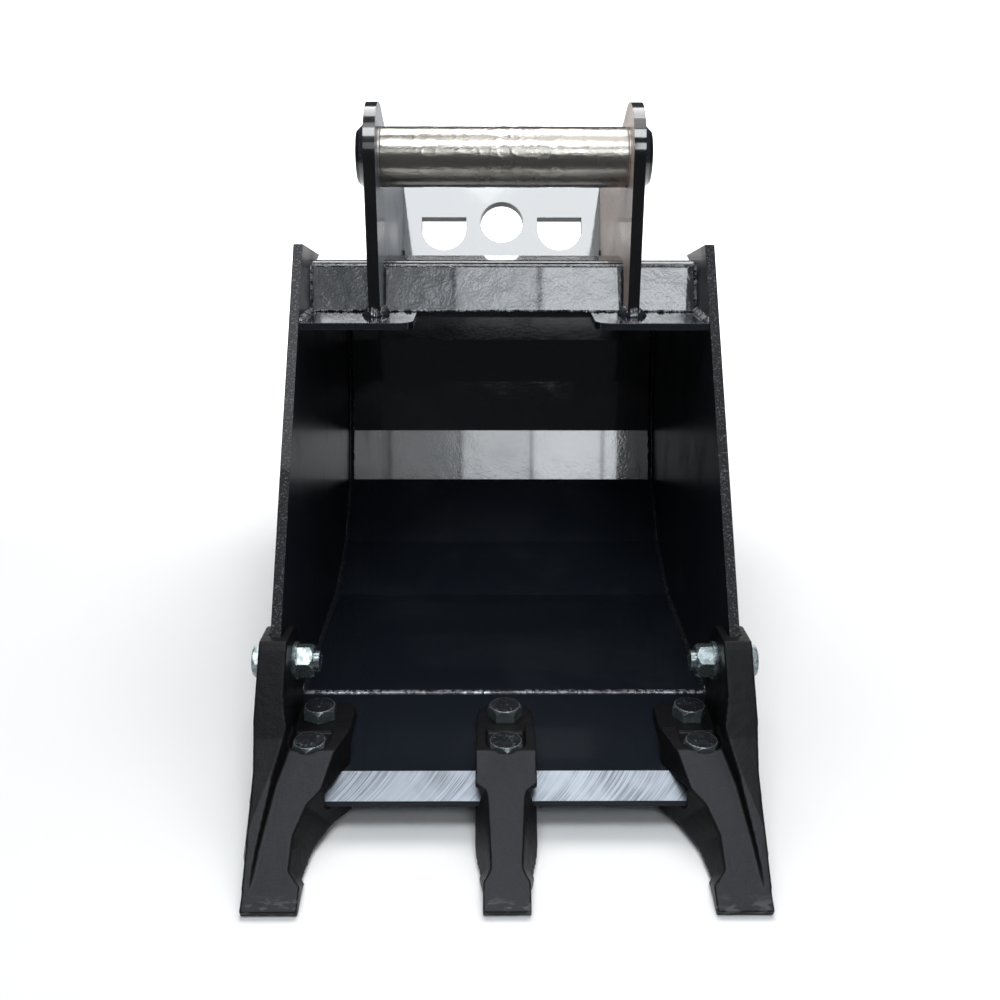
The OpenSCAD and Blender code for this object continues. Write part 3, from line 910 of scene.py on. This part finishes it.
def add_piece(name: str, mesh: bmesh.types.BMesh, material: bpy.types.Material) -> bpy.types.Object:
    """Turns a bmesh into a piece that rides on the bucket.

    Args:
        name: the piece's name.
        mesh: its geometry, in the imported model's frame.
        material: its finish.

    Returns:
        The new object.
    """
    bmesh.ops.recalc_face_normals(mesh, faces=mesh.faces)
    data = bpy.data.meshes.new(name)
    mesh.to_mesh(data)
    mesh.free()
    data.materials.append(material)
    data.polygons.foreach_set("use_smooth", [True] * len(data.polygons))
    obj = bpy.data.objects.new(name, data)
    bpy.context.scene.collection.objects.link(obj)
    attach(obj, BODY)
    LOG.info("%s: %d faces", name, len(data.polygons))
    return obj


def tube(mesh: bmesh.types.BMesh, rings: list[list[Vector]], capped: bool = True) -> None:
    """Joins closed rings of points into a tube, with end caps.

    Args:
        mesh: where the faces go.
        rings: closed rings, all with the same number of points.
        capped: whether both ends get a face.
    """
    made = [[mesh.verts.new(p) for p in ring] for ring in rings]
    count = len(rings[0])
    for first, second in zip(made, made[1:]):
        for k in range(count):
            mesh.faces.new((first[k], first[(k + 1) % count], second[(k + 1) % count], second[k]))
    if capped:
        mesh.faces.new(list(reversed(made[0])))
        mesh.faces.new(made[-1])


def resample(path: list[Vector], step: float, rounds: int = 3) -> list[Vector]:
    """Spaces points evenly along a path, with its corners rounded a little.

    Args:
        path: the path's corners.
        step: about how far apart the points are.
        rounds: how many times the corners are rounded.

    Returns:
        The points.
    """
    lengths = [(b - a).length for a, b in zip(path, path[1:])]
    total = sum(lengths)
    count = max(2, round(total / step))
    points = []
    for k in range(count + 1):
        left = total * k / count
        for i, length in enumerate(lengths):
            if left <= length or i == len(lengths) - 1:
                points.append(path[i].lerp(path[i + 1], min(1.0, left / max(length, 1e-9))))
                break
            left -= length
    for _ in range(rounds):
        middle = [(a + b + c) / 3 for a, b, c in zip(points, points[1:], points[2:])]
        points = [points[0]] + middle + [points[-1]]
    return points


@dataclass
class Bead:
    """A fillet weld along an inside corner, with ripples and uneven legs.

    Sizes are in millimetres, apart from the path, and the shares are shares of the leg.
    """

    name: str
    path: list[Vector]
    side_a: Vector | Callable[[float], Vector]
    side_b: Vector | Callable[[float], Vector]
    leg: float = 5.0
    ripple: float = 0.14
    pitch: float = 2.4
    rough: float = 0.18
    seed: int = 1
    points: int = 7
    step: float = 0.7
    taper: float = 4.0
    end_share: float = 0.35
    root_share: float = 0.12
    crown_share: float = 0.16

    def build(self, material: bpy.types.Material, slot: str) -> bpy.types.Object:
        """Builds the bead as a closed rippled strip.

        Args:
            material: its finish.
            slot: the record's material slot that it belongs to; not used.

        Returns:
            The new object.
        """
        spine = resample(self.path, self.step * MM)
        mesh = bmesh.new()
        run = 0.0
        rings = []
        for k, spot in enumerate(spine):
            run += (spot - spine[k - 1]).length if k else 0.0
            share = k / (len(spine) - 1)
            a = self.side_a(share) if callable(self.side_a) else self.side_a
            b = self.side_b(share) if callable(self.side_b) else self.side_b
            fade = min(1.0, self.end_share + min(share, 1 - share) * len(spine) * self.step / self.taper)
            rings.append(self.ring(spot, a, b, run / MM, fade))
        tube(mesh, rings)
        return add_piece(self.name, mesh, material)

    def ring(self, spot: Vector, a: Vector, b: Vector, run: float, fade: float) -> list[Vector]:
        """Draws one closed cross-section of the bead.

        Args:
            spot: the corner that it fills, in metres.
            a, b: the directions along the two plates.
            run: how far along the bead it is, in millimetres.
            fade: its size beside the full one.

        Returns:
            The points of the cross-section.
        """
        phase = run / self.pitch + 0.35 * noise.noise(Vector((run / 9.0, self.seed, 0)))
        scale = 1 + self.ripple * abs(math.sin(math.pi * phase)) - self.ripple / 2
        leg = self.leg * MM * fade * scale
        leg_a = leg * (1 + self.rough * noise.noise(Vector((run / 7.0, self.seed, 3.1))))
        leg_b = leg * (1 + self.rough * noise.noise(Vector((run / 6.0, 7.7, self.seed))))
        ring = [spot - (a + b) * self.leg * MM * self.root_share]
        for j in range(self.points):
            t = j / (self.points - 1)
            bulge = 1 + self.crown_share * math.sin(math.pi * t) * scale
            ring.append(spot + (a * leg_a * (1 - t) + b * leg_b * t) * bulge)
        return ring


@dataclass
class Welds:
    """All the beads that join the plates of the bucket, with their places in the bucket's frame."""

    finishes: Finishes
    ear_inner: float = 107.0
    ear_outer: float = 117.0
    ear_front: float = 45.0
    clear: float = 2.0
    beam_back: float = 64.0
    beam_lean: float = math.radians(18)
    beam_heights: tuple[float, float] = (1.0, 38.0)
    lip_run: tuple[float, float] = (4.0, 62.0)
    tail_from: float = 146.0
    tail_share: float = 0.36
    blade_run: tuple[float, float] = (-26.0, -1.0)
    lock_lean: float = math.radians(27)
    lock_back: float = 220.0
    lock_drop: float = 72.0
    lock_run: tuple[float, float] = (-52.0, -30.0)

    def bead(self, name: str, path: list[Triple], a: Triple, b: Triple, finish: str = "weld_paint",
             **sizes: float) -> None:
        """Lays one bead along a path in the bucket's frame, between two plates.

        Args:
            name: the bead's name.
            path: its corners, in millimetres.
            a, b: the directions along the two plates.
            finish: which of the finishes it gets.
            sizes: fields of the bead.
        """
        Bead(name, [BUCKET.place(*p) for p in path], BUCKET.direction(*a), BUCKET.direction(*b),
             seed=len(name) + len(bpy.data.objects), **sizes).build(self.finishes.made[finish], "weld_paint")

    def build(self) -> None:
        """Lays every bead."""
        for side, word in SIDES:
            self.bowl_corners(side, word)
            self.beam_ends(side, word)
            self.ear_foot(side, word)
            self.blade_ends(side, word)
            self.lip(side, word)
        self.beam_foot()
        self.lock_edges()

    def fold_bead(self, name: str, x: float, away: int, line: Profile, leg: float) -> None:
        """Lays a bead along folded sheet, between the sheet and a flat plate that stands across it.

        Args:
            name: the bead's name.
            x: the plate's face.
            away: which way the plate's face looks, -1 or 1.
            line: the folds, with the bead on the left of the way they run.
            leg: the bead's size.
        """
        runs = [math.dist(p, q) for p, q in zip(line, line[1:])]
        angles = [math.atan2(q[1] - p[1], q[0] - p[0]) for p, q in zip(line, line[1:])]

        def normal(share: float) -> Vector:
            """Finds the sheet's normal, turned evenly near each fold.

            Args:
                share: how far along the path, from 0 to 1.

            Returns:
                The normal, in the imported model's frame.
            """
            left = share * sum(runs)
            k = 0
            while k < len(runs) - 1 and left > runs[k]:
                left -= runs[k]
                k += 1
            lean = max(0.0, left / runs[k] - 0.9) * 5 * (angles[min(k + 1, len(angles) - 1)] - angles[k])
            return BUCKET.direction(0, -math.sin(angles[k] + lean), math.cos(angles[k] + lean))

        Bead(name, [BUCKET.place(x, y, z) for y, z in line], BUCKET.direction(away, 0, 0), normal, leg=leg,
             rough=0.25, seed=len(name)).build(self.finishes.made["weld_paint"], "weld_paint")

    def bowl_corners(self, side: int, word: str) -> None:
        """Lays the long bead between a side plate and the inside of the shell."""
        self.fold_bead(f"weld_bowl_{word}", side * BUCKET.half_in, -side, BUCKET.inner_line(), 4.2)

    def beam_face(self) -> tuple[float, Triple]:
        """Returns y of the foot of the beam's front face, and the direction up that face."""
        return BUCKET.lip_y + self.beam_back, (0, -math.cos(self.beam_lean), math.sin(self.beam_lean))

    def beam_ends(self, side: int, word: str) -> None:
        """Lays the beads between the beam's front face and a side plate, and both faces of an ear.

        Args:
            side: -1 for the left, 1 for the right.
            word: the side's name.
        """
        foot, out = self.beam_face()
        lean = math.tan(self.beam_lean)
        for where, x, away, finish in (("side", BUCKET.half_in, -1, "seam_weld"),
                                       ("ear_out", self.ear_outer, 1, "weld_paint"),
                                       ("ear_in", self.ear_inner, -1, "weld_paint")):
            path = [(side * x, foot + lean * h, BUCKET.roof_top + h) for h in self.beam_heights]
            self.bead(f"weld_beam_{where}_{word}", path, (side * away, 0, 0), out, finish,
                      leg=2.0, rough=0.5, ripple=0.2)

    def ear_foot(self, side: int, word: str) -> None:
        """Lays the beads round the foot of an ear on the roof lip, and along its tail on the shell.

        Args:
            side: -1 for the left, 1 for the right.
            word: the side's name.
        """
        top = BUCKET.roof_top
        front = BUCKET.eye[0] - self.ear_front
        corner, crown, upper = reversed(BUCKET.outer_line()[-3:])
        low = tuple(c + (u - c) * self.tail_share for c, u in zip(crown, upper))
        tail = [(BUCKET.lip_y + self.tail_from, top), corner, crown, low]
        for where, x, away in (("in", self.ear_inner, -1), ("out", self.ear_outer, 1)):
            path = [(side * x, front - 1, top), (side * x, BUCKET.lip_y + self.lip_run[1], top)]
            self.bead(f"weld_foot_{where}_{word}", path, (side * away, 0, 0), (0, 0, 1), leg=6.5, rough=0.3)
            self.fold_bead(f"weld_tail_{where}_{word}", side * x, side * away, tail, 5.0)
        toe = [(side * x, front, top) for x in (self.ear_inner - 1, self.ear_outer + 1)]
        self.bead(f"weld_toe_{word}", toe, (0, -1, 0), (0, 0, 1), leg=6.5, rough=0.4)

    def blade_ends(self, side: int, word: str) -> None:
        """Lays the bead between the outside of a side plate and the top of the cutting edge."""
        path = [(side * BUCKET.half_out, y, 0) for y in self.blade_run]
        self.bead(f"weld_blade_{word}", path, (side, 0, 0), (0, 0, 1), leg=5.0, rough=0.35)

    def lip(self, side: int, word: str) -> None:
        """Lays the bead between a side plate and the top of the roof lip."""
        path = [(side * BUCKET.half_in, BUCKET.lip_y + y, BUCKET.roof_top) for y in self.lip_run]
        self.bead(f"weld_lip_{word}", path, (-side, 0, 0), (0, 0, 1), "seam_weld", leg=4.0, rough=0.4)

    def beam_foot(self) -> None:
        """Lays the rough bright bead under the beam's front face, clear of the ears and side plates."""
        foot, out = self.beam_face()
        end, outer, inner = BUCKET.half_in - self.clear, self.ear_outer + self.clear, self.ear_inner - self.clear
        for word, *ends in (("left", -end, -outer), ("middle", -inner, inner), ("right", outer, end)):
            path = [(x, foot, BUCKET.roof_top) for x in ends]
            self.bead(f"weld_beam_foot_{word}", path, (0, -1, 0), out, "seam_weld",
                      leg=5.6, rough=0.7, ripple=0.35, pitch=3.4)

    def lock_edges(self) -> None:
        """Lays the beads between the lock plate and the ears."""
        eye_y, eye_z = BUCKET.eye
        sin, cos = math.sin(self.lock_lean), math.cos(self.lock_lean)
        for side, word in SIDES:
            path = [(side * self.ear_inner, eye_y + self.lock_back + sin * d, eye_z - self.lock_drop + cos * d)
                    for d in self.lock_run]
            self.bead(f"weld_lock_{word}", path, (-side, 0, 0), (0, -cos, sin), leg=2.2, rough=0.3)


@dataclass
class CouplerBar:
    """The bar's film: a creased sleeve over the bare steel between the ears, in millimetres."""

    finishes: Finishes
    radius: float = 25.0
    half: float = 105.6
    around: int = 150
    along: int = 300
    slack: float = 0.18
    fold: float = 0.42
    wrinkle: float = 0.3
    tuck: float = 0.2

    def crease(self, x: float, angle: float) -> float:
        """Finds how far the film stands off the steel.

        Args:
            x: the place along the bar, in millimetres.
            angle: the place round the bar.

        Returns:
            The gap, in millimetres.
        """
        spot = Vector((x / 11.0, math.cos(angle) * 2.6, math.sin(angle) * 2.6))
        ridge = 1 - abs(noise.noise(spot + Vector((0, 0, 0.3 * math.sin(x / 19.0))))) * 2
        fine = 1 - abs(noise.noise(spot * 3.1 + Vector((4.2, 0, 0)))) * 2
        gather = math.exp(-((x - 16) / 42.0) ** 2) + 0.35 * math.exp(-((x + 62) / 30.0) ** 2)
        top = 0.5 + 0.5 * math.sin(angle)
        folds = self.fold * max(0.0, ridge - 0.62) * gather * (0.5 + top)
        wrinkles = self.wrinkle * max(0.0, fine - 0.66) * gather
        return self.slack + folds + wrinkles + 0.05 * ridge

    def ring(self, centre: Vector, x: float, tucked: bool = False) -> list[Vector]:
        """Draws one ring of the sleeve.

        Args:
            centre: the bar's middle, in metres.
            x: the place along the bar, in millimetres.
            tucked: whether the ring is turned in under the steel's face, to close an end.

        Returns:
            The points of the ring.
        """
        points = []
        for j in range(self.around):
            angle = 2 * math.pi * j / self.around
            r = (self.radius - self.tuck if tucked else self.radius + self.crease(x, angle)) * MM
            points.append(centre + Vector((x * MM, -r * math.cos(angle), r * math.sin(angle))))
        return points

    def build(self) -> None:
        """Builds the film sleeve, with both ends tucked in."""
        low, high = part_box("coupler_pin")
        centre = (low + high) / 2
        places = [-self.half + 2 * self.half * i / self.along for i in range(self.along + 1)]
        rings = [self.ring(centre, x) for x in places]
        first, last = (self.ring(centre, x, tucked=True) for x in (places[0], places[-1]))
        mesh = bmesh.new()
        tube(mesh, [first] + rings + [last], capped=False)
        add_piece("bar_film", mesh, self.finishes.made["bar_film"])


@dataclass
class ThreadEnd:
    """The rolled thread that shows past a nut inside the bowl, in millimetres."""

    finishes: Finishes
    pitch: float = 2.0
    depth: float = 0.9
    radius: float = 8.15
    turns: int = 2
    around: int = 40
    start: float = 0.5
    closeness: float = 0.8
    half_width: float = 0.7

    def build(self) -> None:
        """Builds a thread ridge on both side bolts."""
        root = self.radius - self.depth
        section = ((-self.half_width, root), (0.0, self.radius), (self.half_width, root))
        for side, word in SIDES:
            nut_low, nut_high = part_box(f"side_nut_{word}")
            axis = (nut_low + nut_high) / 2
            face = nut_high.x if side < 0 else nut_low.x
            rings = []
            for k in range(self.around * self.turns + 1):
                angle = 2 * math.pi * k / self.around
                x = face - side * (self.start + self.pitch * self.closeness * k / self.around) * MM
                rings.append([Vector((x + dx * MM, axis.y + r * MM * math.cos(angle),
                                      axis.z + r * MM * math.sin(angle))) for dx, r in section])
            mesh = bmesh.new()
            tube(mesh, rings)
            add_piece(f"thread_{word}", mesh, self.finishes.made["zinc_nuts"])


@dataclass
class Castings:
    """The three teeth: rounded cast edges on the carried-over solids."""

    finishes: Finishes
    voxel: float = 0.0009
    rounds: int = 5
    pull: float = 0.5

    def dress(self) -> None:
        """Softens the edges with a fine remesh and a light smoothing, and puts the cast coat on."""
        for node in ("centre_tooth", "corner_tooth_left", "corner_tooth_right"):
            obj = frame["nodes"][node]
            self.finishes.dress(node, "tooth_cast")
            skin = obj.modifiers.new("cast_skin", "REMESH")
            skin.mode = "VOXEL"
            skin.voxel_size = self.voxel
            skin.use_smooth_shade = True
            soften = obj.modifiers.new("cast_edges", "SMOOTH")
            soften.factor = self.pull
            soften.iterations = self.rounds


@dataclass
class Studio:
    """Camera, lamps, world and floor: the camera in the bucket's frame, the rest in metres."""

    eye: Triple = (-10.0, -792.7, 451.9)
    down: float = math.radians(19.33)
    roll: float = math.radians(-0.41)
    focal: float = 1.05
    sensor: float = 36.0
    near: float = 0.05
    bank: tuple[float, ...] = (0.8, 1.4, 4.6, 6.1, 6.2, 3.4)
    bank_left: float = -0.46
    bank_pitch: float = 0.231
    bank_size: tuple[float, float] = (0.219, 0.44)
    bank_y: float = -1.55
    bank_z: float = 1.40
    room: Colour = (0.052, 0.0535, 0.058)
    sheet: Colour = (0.9, 0.9, 0.9)
    sheet_half: float = 2.6
    sheet_front: float = -0.47
    bend_from: float = 1.3
    bend: float = 0.5
    bend_steps: int = 10
    sheet_top: float = 0.66
    glow: float = 0.9
    glow_from: float = 0.1
    glow_to: float = 1.2

    def camera(self) -> None:
        """Places the camera where the photograph was taken from."""
        data = bpy.data.cameras.new("view")
        data.sensor_width = self.sensor
        data.lens = self.sensor * self.focal
        data.clip_start = self.near
        obj = bpy.data.objects.new("view", data)
        bpy.context.scene.collection.objects.link(obj)
        ahead = BUCKET.direction(0.0, math.cos(self.down), -math.sin(self.down))
        obj.location = BUCKET.place(*self.eye)
        obj.rotation_euler = ahead.to_track_quat("-Z", "Y").to_euler()
        obj.rotation_euler.rotate_axis("Y", self.roll)
        bpy.context.scene.camera = obj

    def panel(self, name: str, spot: Triple, size: tuple[float, float], power: float,
              aim: Triple = (0.0, 0.05, 0.25), tint: Colour = (1.0, 1.0, 1.0)) -> None:
        """Hangs one rectangular soft light.

        Args:
            name: the lamp's name.
            spot: where it hangs, in metres.
            size: its width and height, in metres.
            power: how bright its surface is, where 1 is white.
            aim: the point that it faces.
            tint: its colour.
        """
        lamp = bpy.data.lights.new(name, "AREA")
        lamp.shape = "RECTANGLE"
        lamp.size, lamp.size_y = size
        lamp.energy = power * math.pi * size[0] * size[1]
        lamp.color = tint
        obj = bpy.data.objects.new(name, lamp)
        bpy.context.scene.collection.objects.link(obj)
        obj.location = spot
        obj.rotation_euler = (Vector(aim) - Vector(spot)).to_track_quat("-Z", "Y").to_euler()

    def lamps(self) -> None:
        """Hangs a bank of upright panels, a high panel in front, one overhead and the key light behind."""
        for k, strength in enumerate(self.bank):
            x = self.bank_left + self.bank_pitch * k
            self.panel(f"bank_{k}", (x, self.bank_y, self.bank_z), self.bank_size, strength,
                       aim=(x, 0.15, 0.2), tint=(0.92, 0.96, 1.0))
        self.panel("high_front", (-0.1, -0.9, 2.1), (1.3, 0.62), 8.0, tint=(0.94, 0.975, 1.0))
        self.panel("overhead", (0.15, -0.3, 2.4), (1.3, 0.8), 1.9, aim=(0.1, -0.25, 0.0))
        self.panel("high_back", (0.15, 0.95, 2.3), (2.6, 1.3), 4.6, aim=(0.0, 0.0, 0.0))

    def world(self) -> None:
        """Sets a plain dark grey room round the studio."""
        world = bpy.data.worlds.new("studio")
        world.use_nodes = True
        bpy.context.scene.world = world
        world.node_tree.nodes["Background"].inputs["Color"].default_value = (*self.room, 1.0)

    def pale(self) -> bpy.types.Material:
        """Makes the sheet's finish, which glows towards the back.

        The glow is there for the camera and for reflections only, and puts no light on the bucket.

        Returns:
            The material.
        """
        material, t, shader = new_material("sweep_pale")
        ray = t.add("LightPath").outputs
        seen = t.maths("MAXIMUM", ray["Is Camera Ray"], ray["Is Glossy Ray"])
        seen = t.maths("MAXIMUM", seen, ray["Is Transmission Ray"])
        glow = t.ramp(t.split(t.place())["Y"], self.glow_from, self.glow_to, 0.0, self.glow)
        t.fill(shader, Base_Color=self.sheet, Emission_Color=(1.0, 1.0, 1.0),
               Emission_Strength=t.times(glow, seen), Roughness=0.9, Specular_IOR_Level=0.0)
        return material

    def sweep(self) -> None:
        """Lays a pale sheet under the bucket that curves up behind it."""
        line = [(self.sheet_front, 0.0), (self.bend_from, 0.0)]
        for k in range(1, self.bend_steps + 1):
            a = math.radians(90 * k / self.bend_steps)
            line.append((self.bend_from + self.bend * math.sin(a), self.bend * (1 - math.cos(a))))
        line.append((self.bend_from + self.bend, self.sheet_top))
        mesh = bmesh.new()
        rows = [[mesh.verts.new((x, y, z)) for x in (-self.sheet_half, self.sheet_half)] for y, z in line]
        for first, second in zip(rows, rows[1:]):
            mesh.faces.new((first[0], first[1], second[1], second[0]))
        data = bpy.data.meshes.new("sweep")
        mesh.to_mesh(data)
        mesh.free()
        data.materials.append(self.pale())
        obj = bpy.data.objects.new("sweep", data)
        bpy.context.scene.collection.objects.link(obj)

    def build(self) -> None:
        """Sets up the whole studio."""
        self.camera()
        self.lamps()
        self.world()
        self.sweep()
        bpy.context.scene.view_settings.view_transform = "Standard"


@dataclass
class CarriedParts:
    """The nodes that keep their own shape and only get a finish."""

    finishes: Finishes

    def dress(self) -> None:
        """Puts each node's slot finish on it, overspray on the tooth bolts, and a painted warm reflection on the
        right ear's inner face.
        """
        for row in frame["record"]["subparts"]:
            self.finishes.dress(row["node"], row["material_slot"])
        for node in ("centre_tooth_bolts", "corner_bolts_left", "corner_bolts_right"):
            self.finishes.dress(node, "tooth_bolts")
        # The right ear's inner face gets a painted warm reflection
        self.finishes.dress("hanger_ear_right", "ear_right")


def main() -> None:
    """Builds the scene."""
    logging.basicConfig(level=logging.INFO, format="%(name)s %(message)s")
    Studio().build()
    finishes = Finishes()
    finishes.make()
    CarriedParts(finishes).dress()
    Castings(finishes).dress()
    Welds(finishes).build()
    CouplerBar(finishes).build()
    ThreadEnd(finishes).build()


if __name__ == "__main__":
    main()
